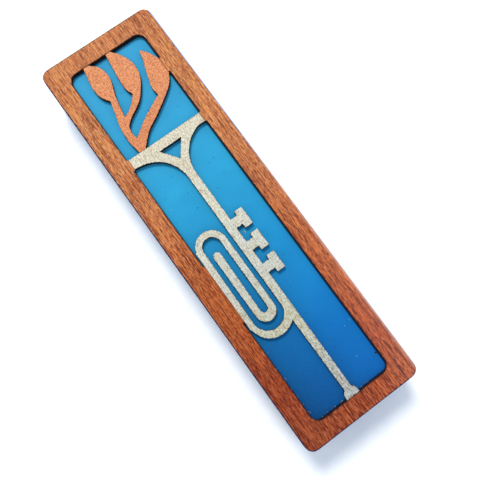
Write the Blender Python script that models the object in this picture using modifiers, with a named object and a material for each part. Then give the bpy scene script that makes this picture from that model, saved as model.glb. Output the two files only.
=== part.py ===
"""Wooden mezuzah case that lies on its back.

A laser-cut front (frame, trumpet and the letter shin) is glued to a blue panel.
Behind the panel a body of stacked sheet layers holds the rolled parchment.
A back cover slides out of the body through the shin end.

The front faces +Z, the shin end points to +Y, and the back rests on Z = 0.
"""

import math

import bmesh
import bpy

MM = 0.001

# Outline shared by the whole case
CASE_WIDTH = 38.0 * MM
CASE_LENGTH = 133.4 * MM
FRONT_CORNER_RADIUS = 2.6 * MM
BODY_CORNER_RADIUS = 2.3 * MM
BODY_OVERHANG = 0.15 * MM

# Sheet thicknesses, from the back to the front
LINER_THICKNESS = 0.12 * MM
FOAM_THICKNESS = 0.8 * MM
REAR_SHEET = 1.5 * MM
CHANNEL_SHEET = 2.0 * MM
SPACER_SHEET = 3.0 * MM
PANEL_SHEET = 1.5 * MM
FRONT_SHEET = 1.5 * MM
GLUE_GAP = 0.1 * MM
KERF = 0.1 * MM

# Window in the front frame
WINDOW_LEFT = -12.85 * MM
WINDOW_RIGHT = 12.95 * MM
WINDOW_BOTTOM = -61.0 * MM
WINDOW_TOP = 60.9 * MM
WINDOW_RADIUS = 2.6 * MM

# Lands where the rails carry the fretwork: the low and high end of each, along the case
LAND_DEPTH = 0.45 * MM
LAND_SLOPE = 0.3 * MM
LEFT_LANDS = [(-27.0 * MM, -8.0 * MM), (26.6 * MM, 30.05 * MM)]
RIGHT_LANDS = [(26.9 * MM, 30.05 * MM), (45.8 * MM, 50.6 * MM)]

# Parchment cavity and the cover that closes it
CAVITY_HALF_WIDTH = 11.0 * MM
CAVITY_HALF_LENGTH = 57.5 * MM
CAVITY_RADIUS = 1.5 * MM
CHANNEL_HALF_WIDTH = 14.0 * MM
CHANNEL_STOP = -61.0 * MM
COVER_THICKNESS = 1.6 * MM
COVER_CLEARANCE = 0.3 * MM
COVER_END_INSET = 0.3 * MM
SCOOP_RADIUS = 8.0 * MM
SCOOP_DEPTH = 0.8 * MM
SCOOP_WIDTH = 14.0 * MM
SCOOP_CENTRE = 47.0 * MM
THUMB_NOTCH_RADIUS = 6.0 * MM

# Adhesive strips on the back
STRIP_WIDTH = 6.0 * MM
FOAM_LENGTH = 108.0 * MM
LINER_LENGTH = 114.0 * MM
STRIP_OFFSET = 15.0 * MM

# Rolled parchment and the clear sleeve round it
SCROLL_LENGTH = 100.0 * MM
SCROLL_RADIUS = 3.85 * MM
SHEET_THICKNESS = 0.2 * MM
TURN_PITCH = 0.35 * MM
SCROLL_TURNS = 5.5
SEGMENTS_PER_TURN = 28
SLEEVE_LENGTH = 104.0 * MM
SLEEVE_INNER_RADIUS = 4.15 * MM
SLEEVE_WALL = 0.2 * MM
SLEEVE_SEGMENTS = 40

# Trumpet, in millimetres across and along the case
RIM_TOP = 30.05
RIM_BOTTOM = 27.0
RIM_BOTTOM_LEFT = 26.8
TUBE_TOP_RIGHT = 1.45
TUBE_END_RIGHT = 1.15
TUBE_TOP = 17.0
TUBE_END = -58.3
BELL_RIGHT = [(10.0, 27.0), (8.3, 26.3), (5.7, 24.7), (3.3, 22.0), (2.0, 19.3), (1.45, 17.0)]
BELL_LEFT = [(-1.2, 17.0), (-2.0, 20.0), (-4.0, 23.2), (-6.7, 25.3), (-9.7, 26.4)]
BELL_HOLE = [(-3.6, 27.0), (4.0, 27.0), (0.2, 21.9)]
VALVE_COUNT = 3
VALVE_PITCH = 7.75
FIRST_VALVE = -2.85
CAP_INNER = 3.5
CAP_OUTER = 6.1
CAP_HALF_HEIGHT = 2.85
STEM_HALF_HEIGHT = 1.5
MOUTHPIECE_RIGHT = [(1.15, -58.3), (1.85, -59.0), (2.15, -59.9)]
MOUTHPIECE_HALF_WIDTH = 2.2

# Trumpet tubing loop: a big bend off the tube, an arch, a small bend and a free end
BIG_BEND_CENTRE = (-5.93, -29.0)
BIG_BEND_OUTER_LEFT = 6.37
BIG_BEND_OUTER_RIGHT = 7.6
BIG_BEND_OUTER_DEPTH = 7.1
BIG_BEND_INNER = 4.7
BIG_BEND_JOIN_ANGLE = -51.8
ARCH_CENTRE = (-7.45, -4.6)
ARCH_OUTER = 4.85
ARCH_INNER = 2.85
SMALL_BEND_CENTRE = (-5.83, -27.95)
SMALL_BEND_OUTER = 3.15
SMALL_BEND_INNER_CENTRE = (-5.8, -27.2)
SMALL_BEND_INNER = 1.15
FREE_END_CENTRE = (-7.8, -7.6)
FREE_END_RADIUS = 1.2

# Letter shin, in millimetres: each flank is a smooth curve through its points
SHIN_FLANKS = [
    [(-8.5, 30.15), (-9.1, 34.5), (-8.9, 39.0), (-7.7, 43.8), (-6.6, 47.9)],
    [(-6.6, 47.9), (-7.8, 49.6), (-8.5, 51.6), (-8.6, 54.8), (-7.5, 60.8)],
    [(-5.7, 60.8), (-3.7, 59.0), (-2.7, 56.4), (-2.8, 53.2), (-4.6, 47.8), (-5.8, 41.5)],
    [(-5.8, 41.5), (-3.7, 42.5), (-1.4, 44.4), (0.0, 46.2)],
    [(0.0, 46.2), (-0.7, 47.8), (-0.9, 50.0), (-0.5, 54.5), (0.3, 60.8)],
    [(2.0, 60.8), (4.1, 58.0), (5.5, 54.2), (5.2, 50.1), (2.9, 46.0), (0.0, 42.8), (-4.3, 40.2),
     (-6.4, 38.3), (-6.8, 36.3), (-6.5, 34.2)],
    [(-6.5, 34.2), (-5.0, 35.3), (-1.2, 37.9), (3.0, 40.1), (5.9, 41.6)],
    [(5.9, 41.6), (5.7, 44.6), (7.0, 49.2), (8.5, 53.3), (9.2, 56.3)],
    [(9.2, 56.3), (11.0, 54.2), (12.3, 51.3), (12.8, 47.8), (12.0, 44.4), (9.4, 41.4), (3.0, 37.1),
     (-2.3, 34.0), (-6.3, 30.15)],
]

ARC_STEPS = 8
SMOOTH_STEPS = 5
WELD_DISTANCE = 0.00001


def stack_heights():
    """Give the low face of every sheet, counted up from the surface the case rests on."""
    sheets = [
        ("liner", LINER_THICKNESS),
        ("foam", FOAM_THICKNESS),
        ("rear", REAR_SHEET),
        ("channel", CHANNEL_SHEET),
        ("rear_spacer", SPACER_SHEET),
        ("middle_spacer", SPACER_SHEET),
        ("front_spacer", SPACER_SHEET),
        ("panel", PANEL_SHEET),
        ("front", FRONT_SHEET),
    ]
    heights = {}
    level = 0.0
    for name, thickness in sheets:
        heights[name] = level
        level += thickness + GLUE_GAP
    return heights


def clear_scene():
    """Remove every object that the scene starts with."""
    for item in list(bpy.data.objects):
        bpy.data.objects.remove(item, do_unlink=True)


def new_collection(name):
    """Make a collection under the scene's own."""
    collection = bpy.data.collections.new(name)
    bpy.context.scene.collection.children.link(collection)
    return collection


def new_material(name, colour, roughness, metallic=0.0):
    """Make a plain Principled material."""
    material = bpy.data.materials.new(name)
    material.use_nodes = True
    shader = material.node_tree.nodes["Principled BSDF"]
    shader.inputs["Base Color"].default_value = (*colour, 1.0)
    shader.inputs["Roughness"].default_value = roughness
    shader.inputs["Metallic"].default_value = metallic
    material.diffuse_color = (*colour, 1.0)
    return material


def arc(centre, radius_x, radius_y, start, end, steps=ARC_STEPS):
    """Give points along an elliptical arc, angles in degrees."""
    points = []
    for step in range(steps + 1):
        angle = math.radians(start + (end - start) * step / steps)
        points.append((centre[0] + radius_x * math.cos(angle), centre[1] + radius_y * math.sin(angle)))
    return points


def smooth(points, steps=SMOOTH_STEPS):
    """Give a curve that passes smoothly through the points, ends included."""
    first = (2 * points[0][0] - points[1][0], 2 * points[0][1] - points[1][1])
    last = (2 * points[-1][0] - points[-2][0], 2 * points[-1][1] - points[-2][1])
    guides = [first, *points, last]
    curve = []
    for index in range(1, len(guides) - 2):
        before, start, end, after = guides[index - 1:index + 3]
        for step in range(steps):
            t = step / steps
            curve.append(tuple(
                0.5 * (2 * start[k]
                       + (end[k] - before[k]) * t
                       + (2 * before[k] - 5 * start[k] + 4 * end[k] - after[k]) * t ** 2
                       + (3 * start[k] - before[k] - 3 * end[k] + after[k]) * t ** 3)
                for k in range(2)
            ))
    curve.append(points[-1])
    return curve


def in_metres(points):
    """Turn points in millimetres into metres."""
    return [(x * MM, y * MM) for x, y in points]


def rounded_rectangle(left, right, bottom, top, radius):
    """Give a closed outline with four round corners."""
    corners = [
        ((right - radius, top - radius), 0),
        ((left + radius, top - radius), 90),
        ((left + radius, bottom + radius), 180),
        ((right - radius, bottom + radius), 270),
    ]
    points = []
    for centre, start in corners:
        points += arc(centre, radius, radius, start, start + 90)
    return points


def without_repeats(points):
    """Drop each point that sits on the one before it, and a last one on the first."""
    kept = []
    for point in points:
        if not kept or math.dist(point, kept[-1]) > WELD_DISTANCE:
            kept.append(point)
    if math.dist(kept[0], kept[-1]) <= WELD_DISTANCE:
        kept.pop()
    return kept


def plate(name, outlines, low, thickness, material, collection):
    """Cut a flat plate: the first outline is its edge and the others are holes."""
    curve = bpy.data.curves.new(name, "CURVE")
    curve.dimensions = "2D"
    curve.fill_mode = "BOTH"
    curve.extrude = thickness / 2
    for outline in outlines:
        points = without_repeats(outline)
        spline = curve.splines.new("POLY")
        spline.points.add(len(points) - 1)
        for point, (x, y) in zip(spline.points, points):
            point.co = (x, y, 0.0, 1.0)
        spline.use_cyclic_u = True
    outline_object = bpy.data.objects.new(name + "_outline", curve)
    outline_object.location = (0.0, 0.0, low + thickness / 2)
    bpy.context.scene.collection.objects.link(outline_object)
    bpy.context.view_layer.update()

    evaluated = outline_object.evaluated_get(bpy.context.evaluated_depsgraph_get())
    mesh = bpy.data.meshes.new_from_object(evaluated)
    mesh.name = name
    mesh_edit = bmesh.new()
    mesh_edit.from_mesh(mesh)
    bmesh.ops.remove_doubles(mesh_edit, verts=mesh_edit.verts, dist=WELD_DISTANCE)
    bmesh.ops.recalc_face_normals(mesh_edit, faces=mesh_edit.faces)
    mesh_edit.to_mesh(mesh)
    mesh_edit.free()
    part = bpy.data.objects.new(name, mesh)
    part.matrix_world = outline_object.matrix_world
    mesh.materials.clear()
    mesh.materials.append(material)
    collection.objects.link(part)
    bpy.data.objects.remove(outline_object, do_unlink=True)
    return part


def body_edges():
    """Give the low and high edges of the painted body: left, right, bottom, top."""
    half_width = CASE_WIDTH / 2 + BODY_OVERHANG
    half_length = CASE_LENGTH / 2 + BODY_OVERHANG
    return -half_width, half_width, -half_length, half_length


def body_outline():
    """Give the painted body's outer edge."""
    return rounded_rectangle(*body_edges(), BODY_CORNER_RADIUS)


def cavity_outline():
    """Give the edge of the room for the parchment."""
    return rounded_rectangle(
        -CAVITY_HALF_WIDTH, CAVITY_HALF_WIDTH, -CAVITY_HALF_LENGTH, CAVITY_HALF_LENGTH, CAVITY_RADIUS
    )


def window_outline():
    """Give the window's edge, with the lands that stand in from its two long sides."""
    radius = WINDOW_RADIUS
    points = arc((WINDOW_RIGHT - radius, WINDOW_TOP - radius), radius, radius, 0, 90)
    points += arc((WINDOW_LEFT + radius, WINDOW_TOP - radius), radius, radius, 90, 180)
    for low, high in reversed(LEFT_LANDS):
        points += land(WINDOW_LEFT, LAND_DEPTH, high, low)
    points += arc((WINDOW_LEFT + radius, WINDOW_BOTTOM + radius), radius, radius, 180, 270)
    points += arc((WINDOW_RIGHT - radius, WINDOW_BOTTOM + radius), radius, radius, 270, 360)
    for low, high in RIGHT_LANDS:
        points += land(WINDOW_RIGHT, -LAND_DEPTH, low, high)
    return points


def land(edge, depth, start, end):
    """Give the four corners of one land, which starts and ends with a short slope."""
    slope = math.copysign(LAND_SLOPE, end - start)
    return [(edge, start - slope), (edge + depth, start), (edge + depth, end), (edge, end + slope)]


def make_front_frame(heights, material, collection):
    """Make the stained wooden frame with its window."""
    outer = rounded_rectangle(
        -CASE_WIDTH / 2, CASE_WIDTH / 2, -CASE_LENGTH / 2, CASE_LENGTH / 2, FRONT_CORNER_RADIUS
    )
    return plate("front_frame", [outer, window_outline()], heights["front"], FRONT_SHEET, material, collection)


def tube_right_edge(along):
    """Give the tube's right-hand edge, which runs in slightly towards the mouthpiece."""
    share = (TUBE_TOP - along) / (TUBE_TOP - TUBE_END)
    return TUBE_TOP_RIGHT + (TUBE_END_RIGHT - TUBE_TOP_RIGHT) * share


def valve_outline(centre):
    """Give the right-hand edge of one valve, from its upper stem corner to its lower one."""
    high = centre + STEM_HALF_HEIGHT
    low = centre - STEM_HALF_HEIGHT
    return [
        (tube_right_edge(high), high),
        (CAP_INNER, high),
        (CAP_INNER, centre + CAP_HALF_HEIGHT),
        (CAP_OUTER, centre + CAP_HALF_HEIGHT),
        (CAP_OUTER, centre - CAP_HALF_HEIGHT),
        (CAP_INNER, centre - CAP_HALF_HEIGHT),
        (CAP_INNER, low),
        (tube_right_edge(low), low),
    ]


def loop_outline():
    """Give both edges of the tubing loop, from its lower join with the tube to its upper one."""
    points = arc(BIG_BEND_CENTRE, BIG_BEND_OUTER_RIGHT, BIG_BEND_OUTER_DEPTH, BIG_BEND_JOIN_ANGLE, -90)
    points += arc(BIG_BEND_CENTRE, BIG_BEND_OUTER_LEFT, BIG_BEND_OUTER_DEPTH, -90, -180)
    points += arc(ARCH_CENTRE, ARCH_OUTER, ARCH_OUTER, 180, 0, 2 * ARC_STEPS)
    points += arc(SMALL_BEND_CENTRE, SMALL_BEND_OUTER, SMALL_BEND_OUTER, 0, -180, 2 * ARC_STEPS)
    points += arc(FREE_END_CENTRE, FREE_END_RADIUS, FREE_END_RADIUS, 180, 0)
    points += arc(SMALL_BEND_INNER_CENTRE, SMALL_BEND_INNER, SMALL_BEND_INNER, -180, 0)
    points += arc(ARCH_CENTRE, ARCH_INNER, ARCH_INNER, 0, 180, 2 * ARC_STEPS)
    points += arc(BIG_BEND_CENTRE, BIG_BEND_INNER, BIG_BEND_INNER, 180, 360, 2 * ARC_STEPS)
    return points


def make_trumpet(heights, material, collection):
    """Make the trumpet, which spans the window from its left rail to its right one."""
    left = (WINDOW_LEFT + LAND_DEPTH + KERF) / MM
    right = (WINDOW_RIGHT - LAND_DEPTH - KERF) / MM
    foot = (WINDOW_BOTTOM + KERF) / MM
    outline = [(left, RIM_TOP), (right, RIM_TOP), (right, RIM_BOTTOM)]
    outline += smooth(BELL_RIGHT)
    for number in range(VALVE_COUNT):
        outline += valve_outline(FIRST_VALVE - number * VALVE_PITCH)
    outline += smooth(MOUTHPIECE_RIGHT)
    outline += [(MOUTHPIECE_HALF_WIDTH, foot), (-MOUTHPIECE_HALF_WIDTH, foot)]
    outline += smooth([(-x, y) for x, y in reversed(MOUTHPIECE_RIGHT)])
    outline += loop_outline()
    outline += smooth([*BELL_LEFT, (left, RIM_BOTTOM_LEFT)])
    return plate(
        "trumpet", [in_metres(outline), in_metres(BELL_HOLE)], heights["front"], FRONT_SHEET, material, collection
    )


def make_shin(heights, material, collection):
    """Make the letter shin: three leaves on curved stems that meet in one foot."""
    right = (WINDOW_RIGHT - LAND_DEPTH - KERF) / MM
    outline = []
    for flank in SHIN_FLANKS:
        outline += smooth(flank)
    trimmed = [(min(x, right), y) for x, y in outline]
    return plate("shin_letter", [in_metres(trimmed)], heights["front"], FRONT_SHEET, material, collection)


def make_layers(heights, material, collection):
    """Make the blue panel and the three spacer layers round the parchment."""
    plate("background_panel", [body_outline()], heights["panel"], PANEL_SHEET, material, collection)
    for place in ("front", "middle", "rear"):
        plate(
            place + "_spacer_layer",
            [body_outline(), cavity_outline()],
            heights[place + "_spacer"],
            SPACER_SHEET,
            material,
            collection,
        )


def make_cover_channel(heights, material, collection):
    """Make the layer that the cover slides in, open at the shin end."""
    left, right, bottom, top = body_edges()
    radius = BODY_CORNER_RADIUS
    outline = [(CHANNEL_HALF_WIDTH, CHANNEL_STOP), (CHANNEL_HALF_WIDTH, top)]
    outline += arc((right - radius, top - radius), radius, radius, 90, 0)
    outline += arc((right - radius, bottom + radius), radius, radius, 0, -90)
    outline += arc((left + radius, bottom + radius), radius, radius, -90, -180)
    outline += arc((left + radius, top - radius), radius, radius, 180, 90)
    outline += [(-CHANNEL_HALF_WIDTH, top), (-CHANNEL_HALF_WIDTH, CHANNEL_STOP)]
    return plate("cover_channel_layer", [outline], heights["channel"], CHANNEL_SHEET, material, collection)


def make_retaining_layer(heights, material, collection):
    """Make the rearmost layer, whose lips hold the cover, with a thumb notch in its end."""
    left, right, bottom, top = body_edges()
    radius = BODY_CORNER_RADIUS
    outline = arc((right - radius, top - radius), radius, radius, 90, 0)
    outline += arc((right - radius, bottom + radius), radius, radius, 0, -90)
    outline += arc((left + radius, bottom + radius), radius, radius, -90, -180)
    outline += arc((left + radius, top - radius), radius, radius, 180, 90)
    outline += arc((0.0, top), THUMB_NOTCH_RADIUS, THUMB_NOTCH_RADIUS, 180, 360, 2 * ARC_STEPS)
    return plate(
        "rear_retaining_layer", [outline, cavity_outline()], heights["rear"], REAR_SHEET, material, collection
    )


def make_back_cover(heights, material, collection, cutters):
    """Make the sliding cover with a finger scoop in its rear face."""
    top = body_edges()[3]
    half_width = CHANNEL_HALF_WIDTH - COVER_CLEARANCE
    low = heights["channel"] - GLUE_GAP + COVER_CLEARANCE
    outline = [
        (-half_width, CHANNEL_STOP + COVER_CLEARANCE),
        (half_width, CHANNEL_STOP + COVER_CLEARANCE),
        (half_width, top - COVER_END_INSET),
        (-half_width, top - COVER_END_INSET),
    ]
    cover = plate("back_cover", [outline], low, COVER_THICKNESS, material, collection)

    bpy.ops.mesh.primitive_cylinder_add(
        vertices=96,
        radius=SCOOP_RADIUS,
        depth=SCOOP_WIDTH,
        location=(0.0, SCOOP_CENTRE, low + SCOOP_DEPTH - SCOOP_RADIUS),
        rotation=(0.0, math.pi / 2, 0.0),
    )
    cutter = bpy.context.active_object
    cutter.name = "scoop_cutter"
    cutter.hide_render = True
    cutter.display_type = "WIRE"
    for owner in list(cutter.users_collection):
        owner.objects.unlink(cutter)
    cutters.objects.link(cutter)
    cut = cover.modifiers.new("finger_scoop", "BOOLEAN")
    cut.operation = "DIFFERENCE"
    cut.solver = "EXACT"
    cut.object = cutter
    return cover


def scroll_height(heights):
    """Give the height of the parchment's centre line, with the sleeve just above the cover."""
    cover_top = heights["channel"] - GLUE_GAP + COVER_CLEARANCE + COVER_THICKNESS
    return cover_top + COVER_CLEARANCE + SLEEVE_INNER_RADIUS + SLEEVE_WALL


def make_scroll(heights, material, collection):
    """Make the rolled parchment: one sheet wound in a spiral, seen open at both ends."""
    centre = scroll_height(heights)
    count = int(SCROLL_TURNS * SEGMENTS_PER_TURN)
    outer = []
    inner = []
    for index in range(count + 1):
        turn = index / SEGMENTS_PER_TURN
        angle = -2 * math.pi * turn
        radius = SCROLL_RADIUS - TURN_PITCH * turn
        outer.append((radius * math.cos(angle), radius * math.sin(angle)))
        thin = radius - SHEET_THICKNESS
        inner.append((thin * math.cos(angle), thin * math.sin(angle)))

    mesh_edit = bmesh.new()
    rings = []
    for along in (-SCROLL_LENGTH / 2, SCROLL_LENGTH / 2):
        rings.append([
            (mesh_edit.verts.new((a[0], along, a[1])), mesh_edit.verts.new((b[0], along, b[1])))
            for a, b in zip(outer, inner)
        ])
    near, far = rings
    for index in range(count):
        (near_out, near_in), (next_out, next_in) = near[index:index + 2]
        (far_out, far_in), (far_next_out, far_next_in) = far[index:index + 2]
        mesh_edit.faces.new((near_out, next_out, far_next_out, far_out))
        mesh_edit.faces.new((near_in, far_in, far_next_in, next_in))
        mesh_edit.faces.new((near_out, near_in, next_in, next_out))
        mesh_edit.faces.new((far_out, far_next_out, far_next_in, far_in))
    for index in (0, count):
        mesh_edit.faces.new((near[index][0], far[index][0], far[index][1], near[index][1]))
    bmesh.ops.recalc_face_normals(mesh_edit, faces=mesh_edit.faces)
    mesh = bpy.data.meshes.new("parchment_scroll")
    mesh_edit.to_mesh(mesh)
    mesh_edit.free()
    mesh.materials.append(material)
    scroll = bpy.data.objects.new("parchment_scroll", mesh)
    scroll.location = (0.0, 0.0, centre)
    collection.objects.link(scroll)
    mesh.shade_smooth()
    mesh.set_sharp_from_angle(angle=math.radians(40))
    return scroll


def make_sleeve(heights, material, collection):
    """Make the clear sleeve: a turned tube, open at both ends."""
    profile = bpy.data.meshes.new("scroll_sleeve")
    outer = SLEEVE_INNER_RADIUS + SLEEVE_WALL
    half = SLEEVE_LENGTH / 2
    corners = [(outer, 0.0, half), (outer, 0.0, -half), (SLEEVE_INNER_RADIUS, 0.0, -half),
               (SLEEVE_INNER_RADIUS, 0.0, half)]
    profile.from_pydata(corners, [(0, 1), (1, 2), (2, 3), (3, 0)], [])
    profile.materials.append(material)
    sleeve = bpy.data.objects.new("scroll_sleeve", profile)
    sleeve.location = (0.0, 0.0, scroll_height(heights))
    sleeve.rotation_euler = (math.pi / 2, 0.0, 0.0)
    collection.objects.link(sleeve)
    turn = sleeve.modifiers.new("turn", "SCREW")
    turn.steps = SLEEVE_SEGMENTS
    turn.render_steps = SLEEVE_SEGMENTS
    turn.use_merge_vertices = True
    turn.merge_threshold = WELD_DISTANCE
    turn.use_smooth_shade = True
    return sleeve


def make_strip(name, side, low, thickness, length, material, collection):
    """Make one flat strip of foam or liner on the left (-1) or right (+1) of the back."""
    bpy.ops.mesh.primitive_cube_add(size=1.0, location=(side * STRIP_OFFSET, 0.0, low + thickness / 2))
    strip = bpy.context.active_object
    strip.name = name
    strip.data.name = name
    for vertex in strip.data.vertices:
        vertex.co.x *= STRIP_WIDTH
        vertex.co.y *= length
        vertex.co.z *= thickness
    strip.data.materials.append(material)
    for owner in list(strip.users_collection):
        owner.objects.unlink(strip)
    collection.objects.link(strip)
    return strip


def main():
    """Build every piece of the case."""
    clear_scene()
    case = new_collection("mezuzah_case")
    cutters = new_collection("cutters")
    heights = stack_heights()

    stained_wood = new_material("stained_wood", (0.40, 0.16, 0.075), 0.55)
    silver_paint = new_material("silver_paint", (0.66, 0.64, 0.55), 0.45, 0.3)
    copper_paint = new_material("copper_paint", (0.76, 0.30, 0.15), 0.45, 0.3)
    blue_paint = new_material("blue_paint", (0.03, 0.22, 0.52), 0.5)
    plain_wood = new_material("plain_wood", (0.66, 0.47, 0.28), 0.65)
    parchment = new_material("parchment", (0.80, 0.72, 0.54), 0.7)
    clear_film = new_material("clear_film", (0.85, 0.88, 0.90), 0.15)
    foam = new_material("foam", (0.82, 0.82, 0.80), 0.9)
    liner = new_material("liner", (0.90, 0.86, 0.74), 0.4)

    make_front_frame(heights, stained_wood, case)
    make_trumpet(heights, silver_paint, case)
    make_shin(heights, copper_paint, case)
    make_layers(heights, blue_paint, case)
    make_cover_channel(heights, blue_paint, case)
    make_retaining_layer(heights, blue_paint, case)
    make_back_cover(heights, plain_wood, case, cutters)
    make_scroll(heights, parchment, case)
    make_sleeve(heights, clear_film, case)
    for side_name, side in (("left", -1), ("right", 1)):
        make_strip(side_name + "_foam_tape", side, heights["foam"], FOAM_THICKNESS, FOAM_LENGTH, foam, case)
        make_strip(side_name + "_release_liner", side, heights["liner"], LINER_THICKNESS, LINER_LENGTH, liner,
                   case)


main()
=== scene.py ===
"""Mezuzah case: the looks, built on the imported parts."""
import math
import random

import bmesh
import bpy
import numpy as np
from mathutils import Matrix, Vector, noise
from mathutils.geometry import delaunay_2d_cdt
from mathutils.kdtree import KDTree


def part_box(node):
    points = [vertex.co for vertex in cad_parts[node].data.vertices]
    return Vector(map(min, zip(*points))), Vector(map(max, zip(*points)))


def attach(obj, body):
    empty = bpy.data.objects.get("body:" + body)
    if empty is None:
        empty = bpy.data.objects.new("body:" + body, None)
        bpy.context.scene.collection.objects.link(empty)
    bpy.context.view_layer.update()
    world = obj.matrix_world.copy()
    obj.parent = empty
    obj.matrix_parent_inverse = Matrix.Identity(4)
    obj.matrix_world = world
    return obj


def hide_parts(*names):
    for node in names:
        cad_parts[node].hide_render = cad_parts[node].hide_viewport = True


MM = 0.001

# Places and sizes in millimetres, as in the CAD
HALF_WIDTH = 19.0
HALF_LENGTH = 66.7
WINDOW_HALF_WIDTH = 12.85
WINDOW_HALF_LENGTH = 60.85
RAIL_MIDDLE = 15.5
COVER_HALF_WIDTH = 13.7
COVER_SHIN_END = 66.55
COVER_MOUTHPIECE_END = -60.7
COVER_SEAM = 2.67
LOWEST_SPACER_SEAM = 4.77
SPACER_STEP = 3.1
GLUE = 0.1
KERF = 0.1

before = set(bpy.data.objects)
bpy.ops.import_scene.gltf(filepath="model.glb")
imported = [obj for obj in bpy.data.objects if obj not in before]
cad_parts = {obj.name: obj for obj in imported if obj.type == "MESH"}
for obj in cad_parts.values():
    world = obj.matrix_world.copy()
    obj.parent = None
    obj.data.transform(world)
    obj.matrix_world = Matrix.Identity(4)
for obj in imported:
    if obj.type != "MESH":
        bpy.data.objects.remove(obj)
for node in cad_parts.values():
    node.data.update()
bpy.context.view_layer.update()


# ---------------------------------------------------------------- outlines of the sheets

WELD_DISTANCE = 0.002 * MM
SAME_HEIGHT = 0.01 * MM
# A face whose normal's Z is above this is level
LEVEL = 0.9
CORNER = math.radians(30)


def area(points):
    a = np.array(points)
    b = np.roll(a, -1, axis=0)
    return 0.5 * float(np.sum(a[:, 0] * b[:, 1] - a[:, 1] * b[:, 0]))


def outline_loops(node):
    """Give the closed outlines of a CAD sheet's upper face in millimetres, the outer one first."""
    mesh_edit = bmesh.new()
    mesh_edit.from_mesh(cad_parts[node].data)
    bmesh.ops.remove_doubles(mesh_edit, verts=mesh_edit.verts, dist=WELD_DISTANCE)
    mesh_edit.normal_update()
    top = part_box(node)[1].z
    left = {}
    for face in mesh_edit.faces:
        if face.normal.z < LEVEL or abs(face.calc_center_median().z - top) > SAME_HEIGHT:
            continue
        for loop in face.loops:
            others = [f for f in loop.edge.link_faces if f != face]
            if all(abs(f.normal.z) < LEVEL for f in others):
                left[loop.vert.index] = loop.link_loop_next.vert.index
    mesh_edit.verts.ensure_lookup_table()
    loops = []
    while left:
        start = min(left)
        chain = [start]
        at = left.pop(start)
        while at != start:
            chain.append(at)
            at = left.pop(at)
        corners = [mesh_edit.verts[i].co for i in chain]
        loops.append([(co.x / MM, co.y / MM) for co in corners])
    mesh_edit.free()
    loops.sort(key=lambda points: -abs(area(points)))
    return loops


def resample(points, spacing, rounds=6):
    """Give evenly spaced points along a closed outline. Facets are smoothed, corners stay."""
    count = len(points)
    made, fixed = [], []
    for i in range(count):
        a, b, c = (Vector(points[(i + k) % count]) for k in (-1, 0, 1))
        made.append(b)
        fixed.append(abs((b - a).angle_signed(c - b, 0.0)) > CORNER)
        steps = max(1, round((c - b).length / spacing))
        for k in range(1, steps):
            made.append(b.lerp(c, k / steps))
            fixed.append(False)
    p = np.array([tuple(v) for v in made])
    hold = np.array(fixed)
    for _ in range(rounds):
        middle = (np.roll(p, 1, axis=0) + np.roll(p, -1, axis=0)) / 2
        p = np.where(hold[:, None], p, 0.5 * p + 0.5 * middle)
    return p


def normals(p):
    """Unit normals of a closed outline, pointing out of the sheet."""
    ahead = np.roll(p, -1, axis=0) - np.roll(p, 1, axis=0)
    normal = np.stack([ahead[:, 1], -ahead[:, 0]], axis=1)
    return normal / np.maximum(np.linalg.norm(normal, axis=1), 1e-9)[:, None]


def ragged(p, amount, seed):
    """Move an outline's points a little in and out, as a laser and a brush leave it."""
    push = np.array([
        0.6 * noise.noise((x * 0.9 + seed, y * 0.9, seed * 1.7))
        + 0.7 * noise.noise((x * 2.6, y * 2.6 + seed, seed))
        for x, y in p
    ])
    return p + normals(p) * (push * amount)[:, None]


# ---------------------------------------------------------------- sheet meshes

FACE, WALL = 0, 1
# A point this near a side of the sheet's box lies on that side
AT_SIDE = 0.12
# The axis that each side of the box crosses, and which way
SIDES = {"left": (0, -1), "right": (0, 1), "bottom": (1, -1), "top": (1, 1)}


def uneven_loops(node, spacing, rag, seed, meets):
    """Give a CAD sheet's uneven outlines, inside its box except where it meets the next sheet."""
    low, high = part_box(node)
    loops = []
    for i, points in enumerate(outline_loops(node)):
        p = ragged(resample(points, spacing), rag, seed + i * 3.1)
        np.clip(p[:, 0], low.x / MM, high.x / MM, out=p[:, 0])
        np.clip(p[:, 1], low.y / MM, high.y / MM, out=p[:, 1])
        for side in meets:
            axis, way = SIDES[side]
            at = (high if way > 0 else low)[axis] / MM
            p[np.abs(p[:, axis] - at) < AT_SIDE, axis] = at + way * KERF
        loops.append(p)
    return loops


def inside(loops, points):
    """Tell which points lie in the sheet: inside an odd number of its outlines."""
    result = np.zeros(len(points), bool)
    x, y = points[:, 0], points[:, 1]
    for p in loops:
        q = np.roll(p, -1, axis=0)
        for (ax, ay), (bx, by) in zip(p, q):
            if (ay > by) == (ay < by):
                continue
            hit = ((ay > y) != (by > y)) & (x < (bx - ax) * (y - ay) / (by - ay) + ax)
            result ^= hit
    return result


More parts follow.
